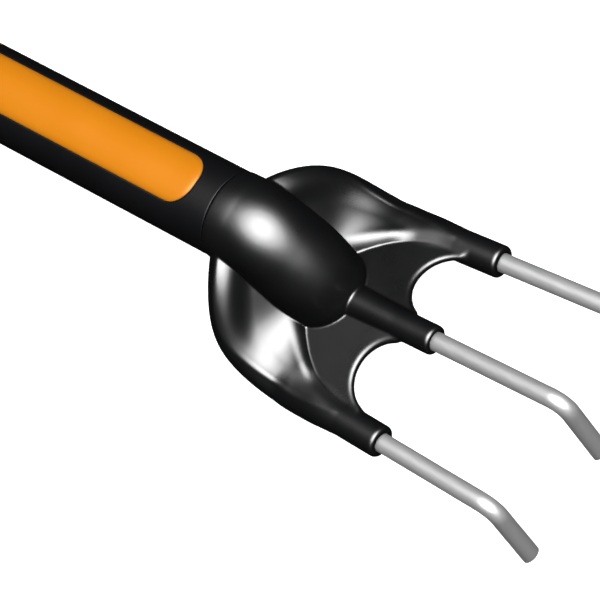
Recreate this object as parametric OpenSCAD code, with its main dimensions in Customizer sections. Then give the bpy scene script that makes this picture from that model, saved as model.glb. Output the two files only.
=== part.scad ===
// Three-tine hand cultivator, millimetres.
// Modelled along its own handle axis: +X towards the tines, origin where the handle meets the neck.
// place() then rests it on the floor, on its two outer tine tips and the butt of the handle.

/* [Handle] */
// Outer diameter of the grip sleeve
handle_d = 30; // [26:0.5:34]
// Handle length, from the neck to the butt
handle_len = 150; // [120:1:180]
// Length of the grip sleeve
sleeve_len = 107.6; // [90:0.1:130]
// Diameter of the hard core tube under the sleeve
core_d = 24.8; // [22:0.1:27]
// Bore of the core tube
core_bore_d = 18.1; // [16:0.1:20]
// Rounding of the butt
butt_round = 7; // [3:0.5:12]
// Diameter of the hanging hole
hang_d = 8; // [6:0.5:10]
// Distance from the hanging hole to the butt
hang_inset = 12; // [10:0.5:20]

/* [Grip inlay] */
// Width of the inlay
inlay_w = 18.2; // [12:0.1:22]
// Gap between the inlay's front edge and the neck
inlay_front = 8.9; // [4:0.1:20]
// Corner radius of the inlay
inlay_corner = 8.3; // [2:0.1:9]
// How far the inlay stands above the sleeve
inlay_proud = 0.3; // [0:0.1:0.8]

/* [Neck] */
// Diameter of the neck where it meets the handle
neck_d = 30.8; // [27:0.1:34]
// Diameter of the spigot that runs into the core tube
tang_d = 18; // [15:0.5:20]
// Depth of the spigot in the core tube
tang_len = 38; // [25:1:50]

/* [Tines] */
// Diameter of the steel rod
rod_d = 6.4; // [5:0.1:8]
// Centre-line radius of the bend
bend_r = 5.8; // [4:0.1:15]
// Direction of the bent end, degrees below the handle axis
bend_down = 80.5; // [60:0.5:95]
// Length from the bend's corner to the tip
tip_len = 33.2; // [25:0.1:40]
// Bevel of the cut end, degrees from square
tip_bevel = 33; // [0:1:45]
// Distance of the outer tines from the middle, at station_x
outer_y = 34.6; // [30:0.1:40]
// Outward splay of the outer tines, degrees
outer_splay = 2.7; // [0:0.1:6]

/* [Head] */
// Outer diameter of the tine sockets
socket_d = 10; // [9:0.1:13]
// Thickness of the web between the sockets
web_t = 3.4; // [2:0.1:5]
// Diameter of the round notches between the sockets
notch_d = 24.4; // [20:0.1:25]
// Thickness of the wings' rolled rim
rim_d = 10; // [6:0.1:12]
// Height of the ridge above the web
ridge_h = 3.25; // [1:0.05:5]
// Thickness of a wing's sheet
wing_t = 4.4; // [3:0.1:6]

/* [Hidden] */

fit = 0.05;              // radial gap of a plug in its hole
peg_d = 3;               // pegs under the inlay
peg_x = [-20, -58, -96];
pin_d = 4;               // cross pin through the core and the spigot
pin_x = -24;
roll_d = 2.5;            // pins that hold the tines
plug_len = 14;           // cap's plug in the core tube

station_x = 60;          // where the tine axes are stated
socket_end = 15.5;       // socket mouth, along the tine from station_x
mid_z = -23.3;           // height of the middle tine there, and its rise in degrees
mid_rise = 5.8;
mid_corner = 66.5;       // bend corner, along the tine from station_x
mid_in = -22;            // inner end of the rod
out_z = -31.3;
out_rise = 4.5;
out_corner = 61.6;
out_in = -17;
web_at = [50, 10, -23.9]; // a point on the web's top, its fall to each side and rise in degrees
web_fall = 11;
web_rise = 5.5;
notch_x = 67.4;
notch_y = 17.5;

bend_swell = 0.04;       // the bend is a hair fatter than the rod, and laps it by this many degrees
lap = 1.5;

rod_r = rod_d / 2;
rim_r = rim_d / 2;
sleeve_r = handle_d / 2;

// directions of an outer tine seen from the side, and points on its tip
tip_end = [station_x + cos(out_rise) * out_corner + cos(bend_down) * tip_len,
           out_z + sin(out_rise) * out_corner - sin(bend_down) * tip_len];
heel = tip_end + rod_r * [-sin(bend_down), -cos(bend_down)]
     + rod_r * tan(tip_bevel) * [cos(bend_down), -sin(bend_down)];
butt = [-handle_len + butt_round, -sleeve_r + butt_round];
span = heel - butt;
tilt = asin(-butt_round / norm(span)) - atan2(span[1], span[0]);
floor_z = butt[0] * sin(tilt) + butt[1] * cos(tilt) - butt_round;
mid_tip = [station_x + cos(mid_rise) * mid_corner + cos(bend_down) * tip_len,
           mid_z + sin(mid_rise) * mid_corner - sin(bend_down) * tip_len];
toe = mid_tip + rod_r * [sin(bend_down), cos(bend_down)]
    - rod_r * tan(tip_bevel) * [cos(bend_down), -sin(bend_down)];
front_x = toe[0] * cos(tilt) - toe[1] * sin(tilt);
back_x = butt[0] * cos(tilt) + butt[1] * sin(tilt) - butt_round;

module place() {
    translate([-(front_x + back_x) / 2, 0, -floor_z]) rotate([0, -tilt, 0]) children();
}

// round bar along X from x0 to x1
module bar(x0, x1, d) {
    translate([x0, 0, 0]) rotate([0, 90, 0]) cylinder(d = d, h = x1 - x0, $fn = 96);
}

// ---- handle ----
module pegs(d, top) {
    for (x = peg_x) translate([x, 0, core_bore_d / 2 + 0.6]) cylinder(d = d, h = top, $fn = 32);
}

module inlay_plan(grow) {
    back = -sleeve_len - 1;
    front = -inlay_front + grow;
    half = inlay_w / 2 + grow;
    r = inlay_corner + grow;
    translate([back, -half]) square([front - r - back, 2 * half]);
    translate([back, -half + r]) square([front - back, 2 * (half - r)]);
    for (s = [-1, 1]) translate([front - r, s * (half - r)]) circle(r = r, $fn = 64);
}

module handle_core() {
    color([0.16, 0.16, 0.17]) place() difference() {
        bar(-sleeve_len, 0, core_d);
        bar(-sleeve_len - 1, 1, core_bore_d);
        translate([pin_x, 0, 0]) rotate([90, 0, 0])
            cylinder(d = pin_d, h = core_d + 2, center = true, $fn = 48);
        pegs(peg_d + 2 * fit, 6);
    }
}

module grip_sleeve() {
    color([0.05, 0.05, 0.055]) place() difference() {
        bar(-sleeve_len, -0.15, handle_d);
        bar(-sleeve_len - 1, 1, core_d + 2 * fit);
        linear_extrude(height = handle_d) inlay_plan(fit);
    }
}

module grip_inlay() {
    color([0.95, 0.47, 0.08]) place() {
        intersection() {
            difference() {
                bar(-sleeve_len + fit, 0, handle_d + 2 * inlay_proud);
                bar(-sleeve_len - 1, 1, core_d + 2 * fit);
            }
            linear_extrude(height = handle_d) inlay_plan(0);
        }
        pegs(peg_d, core_d / 2 - core_bore_d / 2 + 1);
    }
}

module end_cap() {
    x_hang = -handle_len + hang_inset;
    color([0.95, 0.47, 0.08]) place() difference() {
        union() {
            bar(-sleeve_len - 0.5, -sleeve_len + plug_len, core_bore_d - 2 * fit);
            rotate([0, -90, 0]) rotate_extrude($fn = 96) polygon(concat(
                [[0, sleeve_len], [sleeve_r, sleeve_len]],
                [for (a = [0 : 11.25 : 90]) [sleeve_r - butt_round + butt_round * cos(a),
                                             handle_len - butt_round + butt_round * sin(a)]],
                [[0, handle_len]]));
        }
        translate([x_hang, 0, 0]) rotate([90, 0, 0])
            cylinder(d = hang_d, h = 2 * handle_d, center = true, $fn = 64);
    }
}

module tang_pin() {
    color([0.7, 0.7, 0.72]) place() translate([pin_x, 0, 0]) rotate([90, 0, 0])
        cylinder(d = pin_d, h = core_d - 1, center = true, $fn = 48);
}

// ---- tines ----
// side -1 is the right-hand tine, 0 the middle, 1 the left-hand
module along(side) {
    translate([station_x, side * outer_y, side == 0 ? mid_z : out_z])
        rotate([0, 0, side * outer_splay])
            rotate([0, 90 - (side == 0 ? mid_rise : out_rise), 0]) children();
}

module tine(side) {
    turn = bend_down + (side == 0 ? mid_rise : out_rise);
    back = bend_r * tan(turn / 2);
    corner = side == 0 ? mid_corner : out_corner;
    inner = side == 0 ? mid_in : out_in;
    bevel_h = rod_r * tan(tip_bevel);
    place() along(side) difference() {
        union() {
            translate([0, 0, inner]) cylinder(d = rod_d, h = corner - back - inner, $fn = 64);
            translate([bend_r, 0, corner - back]) {
                rotate([0, -lap, 0]) rotate([90, 0, 180])
                    rotate_extrude(angle = turn + 2 * lap, $fn = 96)
                        translate([bend_r, 0]) circle(d = rod_d + bend_swell, $fn = 64);
                rotate([0, turn, 0]) translate([-bend_r, 0, 0])
                    difference() {
                        cylinder(d = rod_d, h = tip_len - back + bevel_h + 1, $fn = 64);
                        translate([0, 0, tip_len - back]) rotate([0, -tip_bevel, 0])
                            translate([-10, -10, 0]) cube([20, 20, 15]);
                    }
            }
        }
        roll_hole(0);
    }
}

// hole for a pin, up from below the socket; short leaves it as the pin itself
module roll_hole(short) {
    translate([-socket_d * 0.4, 0, 0]) rotate([0, 90, 0])
        cylinder(d = roll_d, h = socket_d * (short > 0 ? 0.86 : 1.2), $fn = 32);
}

module tine_left() { color([0.72, 0.73, 0.74]) tine(1); }
module tine_middle() { color([0.72, 0.73, 0.74]) tine(0); }
module tine_right() { color([0.72, 0.73, 0.74]) tine(-1); }
module tine_pins() {
    color([0.45, 0.45, 0.47]) place() for (s = [-1 : 1]) along(s) roll_hole(1);
}

// ---- head ----
function bez(p, t) = pow(1 - t, 3) * p[0] + 3 * t * pow(1 - t, 2) * p[1]
                   + 3 * t * t * (1 - t) * p[2] + pow(t, 3) * p[3];

// edge of the web, and the spline that carries a wing's rim from the neck, over its shoulder,
// to the outer socket
web_edge = [[27, 9, -25.4], [34, 21, -27], [44, 32, -27.6], [64, 33, -29]];
rim_line = [[5.1, 11, -2.2], [7.4, 16.5, -3.2], [10.4, 25, -9.8], [13.9, 32.3, -21.5],
            [24.6, 34.2, -32.5], [39, 34.8, -35.6], [50, 34.4, -33.2], [58, 34.5, -31.8],
            [66, 34.9, -30.8]];
rim_lag = 0.53;          // the rim runs ahead of the web's edge near the neck
ridge_run = 5;           // the ridge rises over this distance
stations = 18;
up = [0, 0, 1];

function knot(i) = max(0, min(1, (i - 3) / (len(rim_line) - 3)));
function share(u, d) = d > 0 ? u / d : 0;
function weight(i, k, t) = k == 0 ? (t >= knot(i) && t < knot(i + 1) ? 1 : 0)
    : share(t - knot(i), knot(i + k) - knot(i)) * weight(i, k - 1, t)
    + share(knot(i + k + 1) - t, knot(i + k + 1) - knot(i + 1)) * weight(i + 1, k - 1, t);
function rim(t, i = 0) = i == len(rim_line) ? [0, 0, 0]
    : weight(i, 3, min(pow(t, rim_lag), 1 - 1e-9)) * rim_line[i] + rim(t, i + 1);
function flat_dir(a, b) = let (v = [b[0] - a[0], b[1] - a[1], 0]) v / norm(v);
function flat_len(a, b) = norm([b[0] - a[0], b[1] - a[1]]);
// the rim thins a little where it runs into the socket
function rim_rad(t) = rim_r - 0.7 * max(0, min(1, (t - 0.55) / 0.3));
function on_rim(b, e, t, a) = b + rim_rad(t) * (sin(a) * up - cos(a) * e);

function ease(u) = let (c = max(0, min(1, u))) c * c * (3 - 2 * c);
// height of a wing's top at s along station t, from the web's edge a to the rim b
function crown(a, b, t, s) =
    let (far = flat_len(a, b), g = s / far, lift = ridge_h * ease((far - 3) / 9))
    a[2] + lift * (1 - pow(1 - min(s / ridge_run, 1), 2.6))
    + (b[2] + rim_rad(t) - a[2] - lift) * g
    + g * (1 - g) * (7.4 * t - 4.8 + 10 * g) * ease((far - 3) / 14);
// points of a station's top; drop puts them on the underside
function sheet(a, b, e, t, fan, drop) =
    let (far = flat_len(a, b), run = min(ridge_run, 0.7 * far))
    [for (s = concat(run * [0, 0.1, 0.24, 0.48, 1], [for (f = fan) run + f * (far - run)]))
     [a[0] + e[0] * s, a[1] + e[1] * s, crown(a, b, t, s) - drop]];
function wing_top(a, b, e, t) =
    concat(sheet(a, b, e, t, [0.22, 0.45, 0.68, 0.88], 0),
           [for (g = [90, 135, 180]) on_rim(b, e, t, g)]);
function wing_under(a, b, e, t) =
    concat(sheet(a, b, e, t, [0.2, 0.36, 0.5, 0.62], wing_t),
           [for (g = [300, 265, 222]) on_rim(b, e, t, g)]);

module wing() {
    n = 12;
    m = 2 * n;
    pts = [for (i = [0 : stations]) let (t = i / stations, a = bez(web_edge, t), b = rim(t),
                                         e = flat_dir(a, b), u = wing_under(a, b, e, t))
           each concat(wing_top(a, b, e, t), [for (k = [n - 1 : -1 : 0]) u[k]])];
    skin = [for (i = [0 : stations - 1], k = [0 : m - 1])
            let (p = i * m + k, q = i * m + (k + 1) % m)
            each [[p, q, p + m], [q, q + m, p + m]]];
    ends = [for (i = [0, stations], k = [0 : n - 2])
            let (p = i * m + k, q = i * m + m - 1 - k, s = i == 0)
            each (s ? [[p, q - 1, p + 1], [p, q, q - 1]] : [[p, p + 1, q - 1], [p, q - 1, q]])];
    polyhedron(points = pts, faces = concat(skin, ends), convexity = 6);
}

module web_half() {
    outer = [for (i = [0 : 8]) let (p = bez(web_edge, i / 8)) [p[0] - 1, p[1] + 1.5]];
    translate(web_at) rotate([-web_fall, -web_rise, 0])
        translate([-web_at[0], -web_at[1], -web_t]) linear_extrude(height = web_t) difference() {
            polygon(concat([[20, -0.5]], [[20, 6]], outer, [[65, -0.5]]));
            translate([notch_x, notch_y]) circle(d = notch_d, $fn = 96);
        }
}

module spine() {
    bar(-tang_len, 14, tang_d);
    translate([10, 0, 1]) rotate([0, 136, 0]) cylinder(d = tang_d - 1, h = 34, $fn = 64);
}

module head_solid() {
    spine();
    for (s = [0, 1]) mirror([0, s, 0]) {
        wing();
        web_half();
    }
    for (s = [-1 : 1]) along(s) {
        back = s == 0 ? 28 : 16;
        d = socket_d + (s == 0 ? 0 : 1);
        translate([0, 0, -back])
            cylinder(d1 = socket_d + (s == 0 ? 1.8 : -1.2), d2 = d, h = back, $fn = 64);
        translate([0, 0, -0.01]) cylinder(d = d, h = socket_end, $fn = 64);
    }
}

module head_body() {
    color([0.03, 0.03, 0.032]) place() difference() {
        head_solid();
        for (s = [-1 : 1]) along(s) {
            translate([0, 0, s == 0 ? mid_in : out_in])
                cylinder(d = rod_d + 0.04, h = 60, $fn = 64);
            roll_hole(0);
        }
        translate([pin_x, 0, 0]) rotate([90, 0, 0])
            cylinder(d = pin_d, h = core_d + 2, center = true, $fn = 48);
    }
}

module neck_form() {
    hull() {
        bar(0, 0.5, neck_d);
        translate([12.4, 0, -0.8]) sphere(d = neck_d - 0.2, $fn = 36);
        translate([21.5, 0, -12.2]) sphere(d = neck_d + 0.3, $fn = 36);
        translate([28, 0, -24]) sphere(d = neck_d - 0.8, $fn = 36);
    }
}

module neck_shell() {
    color([0.03, 0.03, 0.032]) place() difference() {
        neck_form();
        head_solid();
    }
}

handle_core();
grip_sleeve();
grip_inlay();
end_cap();
tang_pin();
neck_shell();
head_body();
tine_left();
tine_middle();
tine_right();
tine_pins();
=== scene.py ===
import math

import bmesh
import bpy
import numpy as np
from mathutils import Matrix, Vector

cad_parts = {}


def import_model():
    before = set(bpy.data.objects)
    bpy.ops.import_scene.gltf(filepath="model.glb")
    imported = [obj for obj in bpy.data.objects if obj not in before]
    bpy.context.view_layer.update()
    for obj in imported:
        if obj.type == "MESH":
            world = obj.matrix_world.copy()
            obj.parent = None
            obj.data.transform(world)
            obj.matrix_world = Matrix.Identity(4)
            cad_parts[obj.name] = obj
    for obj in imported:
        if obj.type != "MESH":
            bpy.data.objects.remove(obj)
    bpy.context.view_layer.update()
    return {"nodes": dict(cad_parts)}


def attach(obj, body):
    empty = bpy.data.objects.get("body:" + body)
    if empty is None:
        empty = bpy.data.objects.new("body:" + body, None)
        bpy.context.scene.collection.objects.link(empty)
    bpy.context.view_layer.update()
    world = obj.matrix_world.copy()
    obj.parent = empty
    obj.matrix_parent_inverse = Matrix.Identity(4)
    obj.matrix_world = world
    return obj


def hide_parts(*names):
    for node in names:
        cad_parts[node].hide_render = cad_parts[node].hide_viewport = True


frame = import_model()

# The pieces are drawn along the handle's own axis, in millimetres: +X to the tines, origin
# where the handle meets the neck. TILT and SHIFT rest the tool on the floor, as in the CAD.
TILT = math.radians(9.914761)
SHIFT = np.array([4.37427, 0.0, 39.50267])
TURN = np.array([[math.cos(TILT), 0, -math.sin(TILT)], [0, 1, 0],
                 [math.sin(TILT), 0, math.cos(TILT)]])


def to_row(points):
    """Points in handle millimetres, as row metres."""
    return (np.asarray(points, float) @ TURN.T + SHIFT) / 1000


# ---------------------------------------------------------------- mesh helpers
def make(name, verts, faces, mat, nodes):
    """A visible piece that rides the root body and takes the place of CAD nodes."""
    mesh = bpy.data.meshes.new(name)
    mesh.from_pydata([tuple(v) for v in to_row(verts)], [], [tuple(f) for f in faces])
    mesh.validate()
    mesh.update()
    obj = bpy.data.objects.new(name, mesh)
    bpy.context.scene.collection.objects.link(obj)
    tidy_normals(mesh)
    mesh.polygons.foreach_set("use_smooth", [True] * len(mesh.polygons))
    mesh.materials.append(mat)
    obj.visible_glossy = False        # only the lamps are reflected
    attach(obj, "root")
    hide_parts(*nodes)
    return obj


def tidy_normals(mesh):
    """Turns every face of a closed mesh outwards."""
    bm = bmesh.new()
    bm.from_mesh(mesh)
    bmesh.ops.recalc_face_normals(bm, faces=bm.faces)
    bm.to_mesh(mesh)
    bm.free()


def rings_to_faces(count, around):
    """Faces of a closed skin over count rings of around points each, with flat ends."""
    faces = []
    for i in range(count - 1):
        for k in range(around):
            a, b = i * around + k, i * around + (k + 1) % around
            faces.append((a, b, b + around, a + around))
    faces.append(tuple(range(around))[::-1])
    faces.append(tuple(range((count - 1) * around, count * around)))
    return faces


# ---------------------------------------------------------------- implicit surfaces
def smooth_min(a, b, k):
    """The smaller of two distances, with a fillet about k wide where they meet."""
    h = np.clip(0.5 + 0.5 * (b - a) / k, 0, 1)
    return b * (1 - h) + a * h - k * h * (1 - h)


def smooth_max(a, b, k):
    return -smooth_min(-a, -b, k)


def surface_net(field, lo, hi, step):
    """Quads on the zero surface of field(points), with each corner moved onto the surface.

    The field mirrors itself at y = 0 and lo's y is -1.5 steps, so the second layer of cells
    straddles the middle: its corners go to y = 0 and only faces from there outwards are kept.
    Returns corners, faces, and which corners lie in the middle."""
    lo, hi = np.array(lo, float), np.array(hi, float)
    n = np.ceil((hi - lo) / step).astype(int) + 1
    axes = [lo[i] + step * np.arange(n[i]) for i in range(3)]
    val = np.empty(n)
    yy, zz = np.meshgrid(axes[1], axes[2], indexing="ij")
    for i, x in enumerate(axes[0]):
        pts = np.stack([np.full(yy.size, x), yy.ravel(), zz.ravel()], 1)
        val[i] = field(pts).reshape(yy.shape)
    inside = val < 0
    cells = np.zeros(n - 1, int)
    for c in np.ndindex(2, 2, 2):
        cells += inside[c[0]:n[0] - 1 + c[0], c[1]:n[1] - 1 + c[1], c[2]:n[2] - 1 + c[2]]
    active = (cells > 0) & (cells < 8)
    index = np.full(n - 1, -1)
    where = np.argwhere(active)
    index[active] = np.arange(len(where))
    total = np.zeros((len(where), 3))
    hits = np.zeros(len(where))
    corners = [np.array(c) for c in np.ndindex(2, 2, 2)]
    for a in corners:
        for axis in range(3):
            if a[axis]:
                continue
            b = a.copy()
            b[axis] = 1
            va, vb = val[tuple((where + a).T)], val[tuple((where + b).T)]
            cross = (va < 0) != (vb < 0)
            t = np.where(cross, va / np.where(va == vb, 1, va - vb), 0)
            p = a + np.outer(t, b - a)
            total += p * cross[:, None]
            hits += cross
    verts = lo + step * (where + total / hits[:, None])
    verts[where[:, 1] == 1, 1] = 0
    faces = []
    # one quad round every grid edge that the surface crosses
    for axis in range(3):
        u, v = (axis + 1) % 3, (axis + 2) % 3
        first = [slice(1, -1)] * 3
        first[axis] = slice(0, -1)
        second = list(first)
        second[axis] = slice(1, None)
        a, b = inside[tuple(first)], inside[tuple(second)]
        edge = np.argwhere(a != b)
        if not len(edge):
            continue
        flip = a[tuple(edge.T)]
        edge = edge + 1
        edge[:, axis] -= 1
        quad = []
        for du, dv in ((0, 0), (-1, 0), (-1, -1), (0, -1)):
            c = edge.copy()
            c[:, u] += du
            c[:, v] += dv
            quad.append(index[tuple(c.T)])
        quad = np.stack(quad, 1)
        quad[~flip] = quad[~flip][:, ::-1]
        faces.append(quad)
    # a few steps down the slope put the corners on the surface
    for _ in range(3):
        grad = np.empty_like(verts)
        base = field(verts)
        for i in range(3):
            d = np.zeros(3)
            d[i] = 0.02
            grad[:, i] = (field(verts + d) - field(verts - d)) / 0.04
        size = np.maximum((grad ** 2).sum(1), 0.05)
        move = -(base / size)[:, None] * grad
        length = np.linalg.norm(move, axis=1, keepdims=True)
        verts += move * np.minimum(1, 0.5 * step / np.maximum(length, 1e-9))
    faces = np.concatenate(faces)
    faces = faces[where[faces][:, :, 1].max(1) >= 2]
    used = np.unique(faces)
    remap = np.full(len(verts), -1)
    remap[used] = np.arange(len(used))
    return verts[used], remap[faces], where[used][:, 1] == 1


def mirror_half(verts, faces, on_seam):
    """Joins a half to its mirror image along the corners on_seam."""
    keep = ~on_seam
    other = np.arange(len(verts))
    other[keep] = len(verts) + np.arange(keep.sum())
    both = np.concatenate([verts, verts[keep] * [1, -1, 1]])
    return both, np.concatenate([faces, other[faces][:, ::-1]])


def bezier(p, t):
    """Cubic curve through p[0] and p[3]."""
    t = np.asarray(t, float)[..., None]
    p = np.asarray(p, float)
    return ((1 - t) ** 3 * p[0] + 3 * t * (1 - t) ** 2 * p[1] + 3 * t * t * (1 - t) * p[2]
            + t ** 3 * p[3])


def tube_distance(pts, path, radius):
    """Distance to a chain of balls along path, radius at each."""
    best = np.full(len(pts), 1e9)
    for c, r in zip(path, radius):
        best = np.minimum(best, np.sqrt(((pts - c) ** 2).sum(1)) - r)
    return best


# ---------------------------------------------------------------- measures shared with the CAD
# seen from the side: X forward, Z up; the stations of the tines are at STATION_X
ROD_R = 3.2
ROD_PLAY = 0.12
SOCKET_R = 5.0
STATION_X = 60.0
OUTER_Y = 34.6
SPLAY = math.radians(2.7)
TINES = {  # side: (axis height at the station, rise, distance to the bend's corner)
    0: (-23.3, math.radians(5.8), 66.5),
    1: (-31.3, math.radians(4.5), 61.6),
    -1: (-31.3, math.radians(4.5), 61.6),
}
BEND_R = 5.8
BEND_DOWN = math.radians(80.5)
TIP_LEN = 33.2
TIP_BEVEL = math.radians(33)
SOCKET_END = 15.5
SOCKET_LIP = 2.2
# the web's outer edge, and the spline of each wing's rim from the neck to the outer socket
WEB_EDGE = [[27, 9, -25.4], [34, 21, -27.0], [44, 32, -27.6], [64, 33, -29.0]]
RIM = [[5.1, 11, -2.2], [7.4, 16.5, -3.2], [10.4, 25, -9.8], [13.9, 32.3, -21.5],
       [24.6, 34.2, -32.5], [39, 34.8, -35.6], [50, 34.4, -33.2], [58, 34.5, -31.8],
       [66, 34.9, -30.8]]
RIM_R = 5.0
RIM_LAG = 0.53
WING_T = 4.4
# the web's top is a plane through WEB_AT that rises forwards and falls outwards
WEB_AT = (50.0, 10.0, -23.9)
WEB_RISE = 0.096
WEB_FALL = 0.194
WEB_T = 3.4
WEB_FRONT = 64.0
WEB_BACK = 20.0
NOTCH = (67.4, 17.5, 12.2)   # centre and radius of the round notch beside the middle socket


def tine_axis(side):
    """Point on a rod's axis, its direction, and the distance from there to the bend's corner."""
    z, rise, corner = TINES[side]
    yaw = side * SPLAY
    point = np.array([STATION_X, side * OUTER_Y, z])
    along = np.array([math.cos(rise) * math.cos(yaw), math.cos(rise) * math.sin(yaw),
                      math.sin(rise)])
    return point, along, corner


# ---------------------------------------------------------------- the head
def spline(points, t):
    """Clamped uniform cubic B-spline."""
    p = np.asarray(points, float)
    n = len(p)
    knots = np.concatenate([[0] * 3, np.linspace(0, 1, n - 2), [1] * 3])
    t = np.clip(np.asarray(t, float), 0, 1 - 1e-9)
    basis = [((t >= knots[i]) & (t < knots[i + 1])).astype(float) for i in range(n + 3)]
    for k in (1, 2, 3):
        nxt = []
        for i in range(n + 3 - k):
            left, right = knots[i + k] - knots[i], knots[i + k + 1] - knots[i + 1]
            term = 0
            if left > 0:
                term = term + (t - knots[i]) / left * basis[i]
            if right > 0:
                term = term + (knots[i + k + 1] - t) / right * basis[i + 1]
            nxt.append(term)
        basis = nxt
    return sum(b[..., None] * q for b, q in zip(basis, p))


def rim_curve(t):
    return spline(RIM, np.asarray(t, float) ** RIM_LAG)


# stations: straight lines from the web's edge to the rim, side by side like a fan
FAN = np.linspace(0, 1, 61)
FAN_A, FAN_B = bezier(WEB_EDGE, FAN), rim_curve(FAN)


def station(xy):
    """For plan points: the station t they lie on, and the distance along it from the web's edge."""
    ax, ay = FAN_A[:, 0], FAN_A[:, 1]
    dx, dy = FAN_B[:, 0] - ax, FAN_B[:, 1] - ay
    cross = (xy[:, 0:1] - ax) * dy - (xy[:, 1:2] - ay) * dx
    change = (cross[:, :-1] <= 0) != (cross[:, 1:] <= 0)
    first = np.argmax(change, 1)
    none = ~change.any(1)
    rows = np.arange(len(xy))
    c0, c1 = cross[rows, first], cross[rows, first + 1]
    mix = np.where(none, 0, c0 / np.where(c0 == c1, 1, c0 - c1))
    t = FAN[first] + mix * (FAN[1] - FAN[0])
    t = np.where(none, np.where(xy[:, 0] > 40, FAN[-1], FAN[0]), t)
    for _ in range(3):
        eps = 1e-3
        t = np.clip(t, eps, 1 - eps)
        g = []
        for tt in (t - eps, t, t + eps):
            a, b = bezier(WEB_EDGE, tt), rim_curve(tt)
            g.append((xy[:, 0] - a[:, 0]) * (b[:, 1] - a[:, 1])
                     - (xy[:, 1] - a[:, 1]) * (b[:, 0] - a[:, 0]))
        slope = (g[2] - g[0]) / (2 * eps)
        step = np.where(abs(slope) > 1e-6, g[1] / np.where(slope == 0, 1, slope), 0)
        t = np.clip(t - np.clip(step, -0.02, 0.02), FAN[0], FAN[-1])
    a, b = bezier(WEB_EDGE, t), rim_curve(t)
    run = b[:, :2] - a[:, :2]
    length = np.maximum(np.linalg.norm(run, axis=1), 1e-6)
    along = ((xy - a[:, :2]) * run).sum(1) / length
    return t, along, length, a[:, 2], b[:, 2]


STEP_H = 3.25      # height of the ridge along the web
STEP_RUN = 5.0


def ease(u):
    """0 to 1 with a soft start and end."""
    u = np.clip(u, 0, 1)
    return u * u * (3 - 2 * u)


def wing_height(xy):
    """Height of a wing's top: a ridge by the web, then a sheet that swells up to its rim."""
    t, s, length, za, zb = station(xy)
    g = np.clip(s / length, 0, 1)
    ridge = 1 - (1 - np.clip(s / STEP_RUN, 0, 1)) ** 2.6
    step = STEP_H * ease((length - 3) / 9)
    swell = g * (1 - g) * (7.4 * t - 4.8 + 10 * g) * ease((length - 3) / 14)
    z = za + step * ridge + (zb + RIM_R - za - step) * g + swell
    return z, s, length


RIM_PATH = spline(RIM, np.linspace(0, 1, 170))


def socket(pts, side, r_back, r_front, back):
    """Distances to a socket, which widens or narrows from back to the station, and to its bore."""
    point, along, _ = tine_axis(side)
    rel = pts - point
    s = rel @ along
    radial = np.sqrt(np.maximum((rel ** 2).sum(1) - s * s, 0))
    r = r_back + (r_front - r_back) * np.clip((s - back) / -back, 0, 1)
    body = smooth_max(radial - r, s - SOCKET_END, 1.5)
    body = smooth_max(body, back - s, 4)
    return body, np.maximum(radial - ROD_R - ROD_PLAY, SOCKET_END - SOCKET_LIP - s)


# the bulb's axis and radius: (x, z, radius)
BULB = [(0, 0, 15.2), (6, -0.1, 15.36), (12.6, -1.4, 15.25), (18.5, -7.9, 15.5), (24, -16, 15.6),
        (28, -24, 15)]


def bulb_path():
    """Centres and radii of the balls that make the bulb, on a smooth curve through BULB."""
    p = np.array(BULB, float)
    u = np.linspace(0, len(p) - 1, 90)
    i = np.clip(u.astype(int), 0, len(p) - 2)
    f = (u - i)[:, None]
    before, after = p[np.maximum(i - 1, 0)], p[np.minimum(i + 2, len(p) - 1)]
    a, b = p[i], p[i + 1]
    out = 0.5 * (2 * a + (b - before) * f + (2 * before - 5 * a + 4 * b - after) * f ** 2
                 + (3 * a - before - 3 * b + after) * f ** 3)
    return np.stack([out[:, 0], 0 * out[:, 0], out[:, 1]], 1), out[:, 2]


BULB_PATH, BULB_R = bulb_path()
SEAM = 0.06        # where the bulb starts, a hair in front of the grip sleeve


def head_field(pts):
    """Distance to the head with its neck bulb, negative inside."""
    x, y, z = pts.T
    y = abs(y)
    pts = np.stack([x, y, z], 1)
    # web, which runs a little way under the wing
    top = WEB_AT[2] + WEB_RISE * (x - WEB_AT[0]) - WEB_FALL * (y - WEB_AT[1])
    plate = smooth_max(z - top, top - WEB_T - z, 1.0)
    nx, ny, nr = NOTCH
    notch = np.where(x < nx, np.hypot(x - nx, y - ny), abs(y - ny)) - nr
    web = smooth_max(plate, -notch, 2.0)
    h, s, length = wing_height(pts[:, :2])
    web = np.maximum(web, s - 3.0)
    web = smooth_max(web, x - WEB_FRONT, 1.5)
    web = np.maximum(web, WEB_BACK - x)
    # wing, with its rim; they end inside the outer socket
    wing = 0.85 * np.maximum(z - h, h - WING_T - z)      # 0.85 as the sheet is sloped
    wing = smooth_max(wing, s - length, 1.0)
    wing = np.maximum(wing, -s)
    wing = smooth_max(wing, -notch - 0.6, 1.5)
    rim = tube_distance(pts, RIM_PATH, [RIM_R] * len(RIM_PATH))
    wing = smooth_min(wing, rim, 4.5 - 3.0 * ease((x - 40) / 20))
    wing = smooth_max(wing, x - 60, 5.0)
    # sockets and bulb
    body = smooth_min(wing, web, 1.0)
    mid, mid_bore = socket(pts, 0, 5.9, SOCKET_R, -28)
    out, out_bore = socket(pts, 1, SOCKET_R - 0.8, SOCKET_R + 0.5, -24)
    body = smooth_min(body, out, 4.5 - 3.0 * ease((x - 46) / 14))
    body = smooth_min(body, mid, 0.6)
    bulb = tube_distance(pts, BULB_PATH, BULB_R)
    bulb = smooth_max(bulb, SEAM - x, 0.5)
    body = smooth_min(body, bulb, 0.7)
    return np.maximum(np.maximum(body, -mid_bore), -out_bore)


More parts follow.
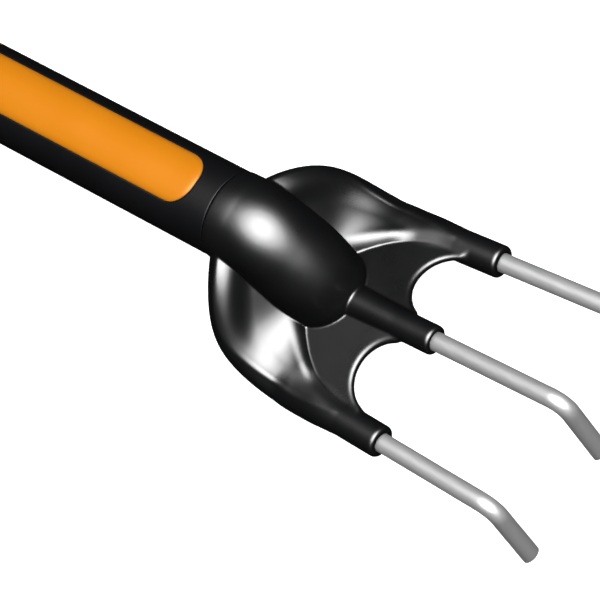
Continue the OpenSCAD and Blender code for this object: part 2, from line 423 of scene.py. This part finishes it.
def head(mat):
    step = 0.45
    half = surface_net(head_field, (-4.0, -1.5 * step, -43), (78, 43, 19), step)
    verts, faces = mirror_half(*half)
    return make("head_moulding", verts, faces, mat, ["head_body", "neck_shell"])


# ---------------------------------------------------------------- tines
def tine(side, mat, node):
    """A rod: straight, one tight bend, straight, and a bevelled end."""
    point, along, corner = tine_axis(side)
    yaw = side * SPLAY
    down = np.array([math.cos(BEND_DOWN) * math.cos(yaw), math.cos(BEND_DOWN) * math.sin(yaw),
                     -math.sin(BEND_DOWN)])
    turn = math.acos(float(along @ down))
    back = BEND_R * math.tan(turn / 2)
    inward = down - along * (along @ down)
    inward /= np.linalg.norm(inward)
    across = np.cross(along, inward)
    centre = point + along * (corner - back) + inward * BEND_R
    axis = [(point + along * s, along) for s in
            np.linspace(SOCKET_END - 4, corner - back, 10)]
    for a in np.linspace(0, turn, 25)[1:]:
        d = along * math.cos(a) + inward * math.sin(a)
        axis.append((centre - inward * BEND_R * math.cos(a) + along * BEND_R * math.sin(a), d))
    end = point + along * corner + down * TIP_LEN
    for s in np.linspace(TIP_LEN - back, 3.4, 8)[1:]:
        axis.append((end - down * s, down))
    around = 56
    verts = []
    for c, d in axis:
        side_dir = np.cross(d, across)
        for k in range(around):
            a = 2 * math.pi * k / around
            verts.append(c + ROD_R * (math.cos(a) * side_dir + math.sin(a) * across))
    # bevelled end with a rounded edge; the rod is shortest on the side that side_dir points to
    side_dir = np.cross(down, across)
    for inset, short in ((0, 0.45), (0.05, 0.28), (0.18, 0.1), (0.42, 0.0), (1.6, -0.02)):
        r = ROD_R - inset
        for k in range(around):
            a = 2 * math.pi * k / around
            off = r * (math.cos(a) * side_dir + math.sin(a) * across)
            longer = -math.tan(TIP_BEVEL) * math.cos(a) * r
            verts.append(end + off + down * (longer - short))
    faces = rings_to_faces(len(axis) + 5, around)
    return make(node + "_rod", verts, faces, mat, [node])


# ---------------------------------------------------------------- handle
HANDLE_R = 15.0
SLEEVE_BACK = -107.6
HANDLE_BACK = -150.0
INLAY_FRONT = -8.9
INLAY_HALF = 9.1
INLAY_CORNER = 8.3
INLAY_R = 15.3
INLAY_EDGE_R = 14.75
INLAY_SOFT = 1.8       # width of the inlay's rounded edge
BUTT_ROUND = 7.0
HANG_X = -138.0
HANG_R = 4.0


def inlay_gap(x, y):
    """Signed plan distance to the inlay's outline, negative inside."""
    cx, cy = INLAY_FRONT - INLAY_CORNER, INLAY_HALF - INLAY_CORNER
    dx, dy = np.maximum(x - cx, 0), np.maximum(abs(y) - cy, 0)
    inner = np.minimum(np.maximum(x - cx, abs(y) - cy), 0)
    return np.hypot(dx, dy) + inner - INLAY_CORNER


def sleeve(mat):
    """The soft grip, sunk a little where the inlay lies in it."""
    around = 360
    xs = [-0.16, -0.17, -0.22, -0.32, -0.5]
    radii = [14.3, 14.68, 14.88, 14.97, HANDLE_R]
    xs += list(np.arange(-0.75, -22, -0.25)) + list(np.arange(-22.5, SLEEVE_BACK + 1, -2.0))
    radii += [HANDLE_R] * (len(xs) - len(radii))
    for dx, dr in ((0.5, 0), (0.3, 0.05), (0.12, 0.15), (0.06, 0.4), (0.05, 0.8)):
        xs.append(SLEEVE_BACK + dx)
        radii.append(HANDLE_R - dr)
    ang = np.linspace(0, 2 * math.pi, around, endpoint=False)
    verts = []
    for x, r in zip(xs, radii):
        for a in ang:
            y, up = math.sin(a), math.cos(a)
            rr = r
            if up > 0:
                gap = float(inlay_gap(np.array(x), np.array(r * y)))
                rr = r - 0.55 * float(np.clip(1 - (gap - 0.05) / 0.45, 0, 1)) ** 2
            verts.append((x, rr * y, rr * up))
    return make("grip_sleeve_soft", verts, rings_to_faces(len(xs), around), mat,
                ["grip_sleeve"])


def inlay_ring(inset):
    """Outline of the inlay's plan, moved in by inset: (x, y) points."""
    half = INLAY_HALF - inset
    front = INLAY_FRONT - inset
    rear = SLEEVE_BACK + 0.06 + inset
    rf, rr = max(INLAY_CORNER - inset, 0.02), max(0.5 - inset, 0.02)
    rf, rr = min(rf, half), min(rr, half)
    pts = []
    for cx, cy, r, a0 in ((front - rf, half - rf, rf, 90), (front - rf, -(half - rf), rf, 0),
                          (rear + rr, -(half - rr), rr, -90), (rear + rr, half - rr, rr, -180)):
        for k in range(25):
            a = math.radians(a0 - 90 * k / 24)
            pts.append((cx + r * math.cos(a), cy + r * math.sin(a)))
    # fill the long straight edges
    out = []
    n = len(pts)
    for i in range(n):
        p, q = np.array(pts[i]), np.array(pts[(i + 1) % n])
        out.append(p)
        if i % 25 == 24:
            for f in np.linspace(0, 1, 50 if i in (49, 99) else 10)[1:-1]:
                out.append(p + f * (q - p))
    return out


def inlay(mat):
    verts = []
    rings = [(0.0, 14.0), (0.0, INLAY_EDGE_R)]
    for a in (12, 30, 48, 66, 80, 90):
        rings.append((INLAY_SOFT * (1 - math.cos(math.radians(a))),
                      INLAY_EDGE_R + (INLAY_R - INLAY_EDGE_R) * math.sin(math.radians(a))))
    rings += [(i, INLAY_R) for i in np.arange(INLAY_SOFT + 0.5, INLAY_HALF - 0.1, 0.55)]
    for inset, r in rings:
        for x, y in inlay_ring(inset):
            verts.append((x, y, math.sqrt(r * r - y * y)))
    around = len(inlay_ring(0))
    return make("grip_inlay_panel", verts, rings_to_faces(len(rings), around), mat,
                ["grip_inlay"])


def lathe(profile, around, axis):
    """Rings round the X axis (axis 0) or the Y axis (axis 1) from (along, radius) points."""
    verts = []
    for s, r in profile:
        for k in range(around):
            a = 2 * math.pi * k / around
            p = [0, 0, 0]
            p[axis] = s
            p[(axis + 1) % 3] = r * math.cos(a)
            p[(axis + 2) % 3] = r * math.sin(a)
            verts.append(tuple(p))
    return verts


def end_cap(mat):
    """The butt, with its hanging hole cut through from side to side."""
    front = SLEEVE_BACK - 0.03
    profile = [(front, 9.0), (front, 14.3), (front - 0.05, 14.68), (front - 0.2, 14.9),
               (front - 0.5, HANDLE_R)]
    profile += [(x, HANDLE_R) for x in np.linspace(front - 2, HANDLE_BACK + BUTT_ROUND, 20)]
    for a in np.linspace(0, 90, 19)[1:]:
        profile.append((HANDLE_BACK + BUTT_ROUND - BUTT_ROUND * math.sin(math.radians(a)),
                        HANDLE_R - BUTT_ROUND + BUTT_ROUND * math.cos(math.radians(a))))
    profile += [(HANDLE_BACK, 4.0)]
    obj = make("end_cap_butt", lathe(profile, 192, 0), rings_to_faces(len(profile), 192), mat,
               ["end_cap"])
    hole = []
    for y in (-20, -15.6, -15.0, -14.6, -14.2, -13.7, -13.2, -12.6, 12.6, 13.2, 13.7, 14.2, 14.6,
              15.0, 15.6, 20):
        flare = max(abs(y) - 12.6, 0)
        hole.append((y, HANG_R + (0.06 * flare ** 2 if abs(y) < 16 else 3)))
    verts = [(x + HANG_X, y, z) for x, y, z in lathe(hole, 96, 1)]
    cut = bpy.data.meshes.new("hole")
    cut.from_pydata([tuple(v) for v in to_row(verts)], [], rings_to_faces(len(hole), 96))
    tidy_normals(cut)
    cutter = bpy.data.objects.new("hole", cut)
    bpy.context.scene.collection.objects.link(cutter)
    mod = obj.modifiers.new("hang", "BOOLEAN")
    mod.object, mod.operation, mod.solver = cutter, "DIFFERENCE", "EXACT"
    deps = bpy.context.evaluated_depsgraph_get()
    done = bpy.data.meshes.new_from_object(obj.evaluated_get(deps))
    obj.modifiers.clear()
    obj.data = done
    bpy.data.objects.remove(cutter)
    return obj


# ---------------------------------------------------------------- materials
def material(name):
    mat = bpy.data.materials.new(name)
    mat.use_nodes = True
    nodes, links = mat.node_tree.nodes, mat.node_tree.links
    shader = nodes["Principled BSDF"]
    coords = nodes.new("ShaderNodeTexCoord")
    return mat, nodes, links, shader, coords.outputs["Object"]


def noise(nodes, links, coords, scale, detail=3.0, rough=0.5, stretch=None):
    tex = nodes.new("ShaderNodeTexNoise")
    tex.inputs["Scale"].default_value = scale
    tex.inputs["Detail"].default_value = detail
    tex.inputs["Roughness"].default_value = rough
    if stretch:
        mapping = nodes.new("ShaderNodeMapping")
        mapping.inputs["Scale"].default_value = stretch
        mapping.inputs["Rotation"].default_value = (0, TILT, 0)
        links.new(coords, mapping.inputs["Vector"])
        coords = mapping.outputs["Vector"]
    links.new(coords, tex.inputs["Vector"])
    return tex.outputs["Fac"]


def ramp(nodes, links, value, out_low, out_high):
    """Spreads a noise value over a range."""
    node = nodes.new("ShaderNodeMapRange")
    node.inputs["From Min"].default_value = 0.3
    node.inputs["From Max"].default_value = 0.7
    node.inputs["To Min"].default_value = out_low
    node.inputs["To Max"].default_value = out_high
    links.new(value, node.inputs["Value"])
    return node.outputs["Result"]


def bump(nodes, links, shader, height, distance, strength):
    node = nodes.new("ShaderNodeBump")
    node.inputs["Distance"].default_value = distance
    node.inputs["Strength"].default_value = strength
    links.new(height, node.inputs["Height"])
    links.new(node.outputs["Normal"], shader.inputs["Normal"])


def mix_colour(nodes, links, fac, a, b):
    node = nodes.new("ShaderNodeMix")
    node.data_type = "RGBA"
    node.inputs["A"].default_value = (*a, 1)
    node.inputs["B"].default_value = (*b, 1)
    links.new(fac, node.inputs["Factor"])
    return node.outputs["Result"]


def black_plastic():
    mat, nodes, links, shader, co = material("black_gloss_plastic")
    cloud = noise(nodes, links, co, 90, 4)
    links.new(mix_colour(nodes, links, cloud, (0.0028, 0.003, 0.0034), (0.0036, 0.0038, 0.0044)),
              shader.inputs["Base Color"])
    links.new(ramp(nodes, links, cloud, 0.27, 0.30), shader.inputs["Roughness"])
    shader.inputs["IOR"].default_value = 1.9
    shader.inputs["Specular IOR Level"].default_value = 1.0
    bump(nodes, links, shader, noise(nodes, links, co, 2600, 2), 0.00001, 0.15)
    return mat


def soft_grip():
    mat, nodes, links, shader, co = material("soft_grip")
    cloud = noise(nodes, links, co, 60, 4)
    links.new(mix_colour(nodes, links, cloud, (0.0028, 0.003, 0.0034), (0.0038, 0.004, 0.0046)),
              shader.inputs["Base Color"])
    links.new(ramp(nodes, links, cloud, 0.38, 0.42), shader.inputs["Roughness"])
    bump(nodes, links, shader, noise(nodes, links, co, 3500, 2), 0.00002, 0.25)
    return mat


def orange_plastic():
    mat, nodes, links, shader, co = material("orange_plastic")
    cloud = noise(nodes, links, co, 70, 3)
    links.new(mix_colour(nodes, links, cloud, (0.56, 0.178, 0.003), (0.59, 0.194, 0.004)),
              shader.inputs["Base Color"])
    links.new(ramp(nodes, links, cloud, 0.33, 0.38), shader.inputs["Roughness"])
    shader.inputs["Metallic"].default_value = 0.12
    bump(nodes, links, shader, noise(nodes, links, co, 3000, 2), 0.00001, 0.2)
    return mat


def rod_steel():
    mat, nodes, links, shader, co = material("satin_steel_rod")
    drawn = noise(nodes, links, co, 700, 3, 0.6, stretch=(0.03, 1, 1))
    links.new(mix_colour(nodes, links, drawn, (0.68, 0.68, 0.68), (0.74, 0.74, 0.74)),
              shader.inputs["Base Color"])
    shader.inputs["Metallic"].default_value = 0.75
    links.new(ramp(nodes, links, drawn, 0.42, 0.49), shader.inputs["Roughness"])
    bump(nodes, links, shader, drawn, 0.00001, 0.2)
    return mat


def hidden(name, colour, metal):
    """Plain material for a CAD node that stays as it is, inside the others."""
    mat, nodes, links, shader, co = material(name)
    cloud = noise(nodes, links, co, 150, 3)
    links.new(mix_colour(nodes, links, cloud, colour, [c * 1.2 for c in colour]),
              shader.inputs["Base Color"])
    shader.inputs["Metallic"].default_value = metal
    shader.inputs["Roughness"].default_value = 0.5
    return mat


black, grip, orange, steel = black_plastic(), soft_grip(), orange_plastic(), rod_steel()
head(black)
for side, node in ((1, "tine_left"), (0, "tine_middle"), (-1, "tine_right")):
    tine(side, steel, node)
sleeve(grip)
inlay(orange)
end_cap(orange)
for node, mat in (("handle_core", hidden("core_plastic", (0.05, 0.05, 0.055), 0)),
                  ("tang_pin", hidden("pin_steel", (0.4, 0.4, 0.41), 1)),
                  ("tine_pins", hidden("roll_pin_steel", (0.4, 0.4, 0.41), 1))):
    obj = frame["nodes"][node]
    obj.data.materials.clear()
    obj.data.materials.append(mat)


# ---------------------------------------------------------------- floor, light, camera
def floor():
    mesh = bpy.data.meshes.new("floor")
    mesh.from_pydata([(-4, -4, 0), (4, -4, 0), (4, 4, 0), (-4, 4, 0)], [], [(0, 1, 2, 3)])
    obj = bpy.data.objects.new("floor", mesh)
    bpy.context.scene.collection.objects.link(obj)
    mat, nodes, links, shader, co = material("pale_floor")
    cloud = noise(nodes, links, co, 3, 2)
    links.new(mix_colour(nodes, links, cloud, (0.90, 0.90, 0.90), (0.92, 0.92, 0.92)),
              shader.inputs["Base Color"])
    shader.inputs["Roughness"].default_value = 0.8
    shader.inputs["Emission Color"].default_value = (1, 1, 1, 1)
    shader.inputs["Emission Strength"].default_value = 0.7
    mesh.materials.append(mat)
    obj.visible_glossy = False
    obj.visible_diffuse = False


def lamp(name, place, target, radius, radiance):
    data = bpy.data.lights.new(name, "AREA")
    data.shape = "DISK"
    data.size = 2 * radius
    data.energy = radiance * math.pi * math.pi * radius * radius
    obj = bpy.data.objects.new(name, data)
    obj.location = place
    obj.rotation_euler = (Vector(target) - Vector(place)).to_track_quat("-Z", "Y").to_euler()
    bpy.context.scene.collection.objects.link(obj)
    return obj


CAM_PLACE = Vector((0.37275, -0.23147, 1.02665))
CAM_TURN = [math.radians(a) for a in (20.21208, 8.80239, 34.11935)]
CAM_LENS = 201.7


def camera():
    data = bpy.data.cameras.new("camera")
    data.sensor_width = 36
    data.lens = CAM_LENS
    data.clip_start, data.clip_end = 0.05, 20
    obj = bpy.data.objects.new("camera", data)
    obj.location = CAM_PLACE
    obj.rotation_euler = CAM_TURN
    bpy.context.scene.collection.objects.link(obj)
    bpy.context.scene.camera = obj


def world():
    w = bpy.data.worlds.new("studio")
    w.use_nodes = True
    back = w.node_tree.nodes["Background"]
    back.inputs["Color"].default_value = (1, 1, 1, 1)
    back.inputs["Strength"].default_value = 0.15
    w.cycles_visibility.glossy = False
    bpy.context.scene.world = w


MAIN = Vector((0.246, -0.099, 0.964)).normalized()
KEY_FAR = 1.6
KEY_DISCS = ((12, 0.9), (24, 2.5), (38, 2.7), (52, 0.5))    # half angle in degrees, radiance
floor()
# one soft source that fades outwards: discs of growing radius in the same place
for k, (spread, radiance) in enumerate(KEY_DISCS):
    radius = KEY_FAR * math.tan(math.radians(spread))
    lamp("key_%d" % k, MAIN * (KEY_FAR + 0.01 * k), (0, 0, 0), radius, radiance)
world()
camera()
bpy.context.scene.view_settings.view_transform = "Standard"
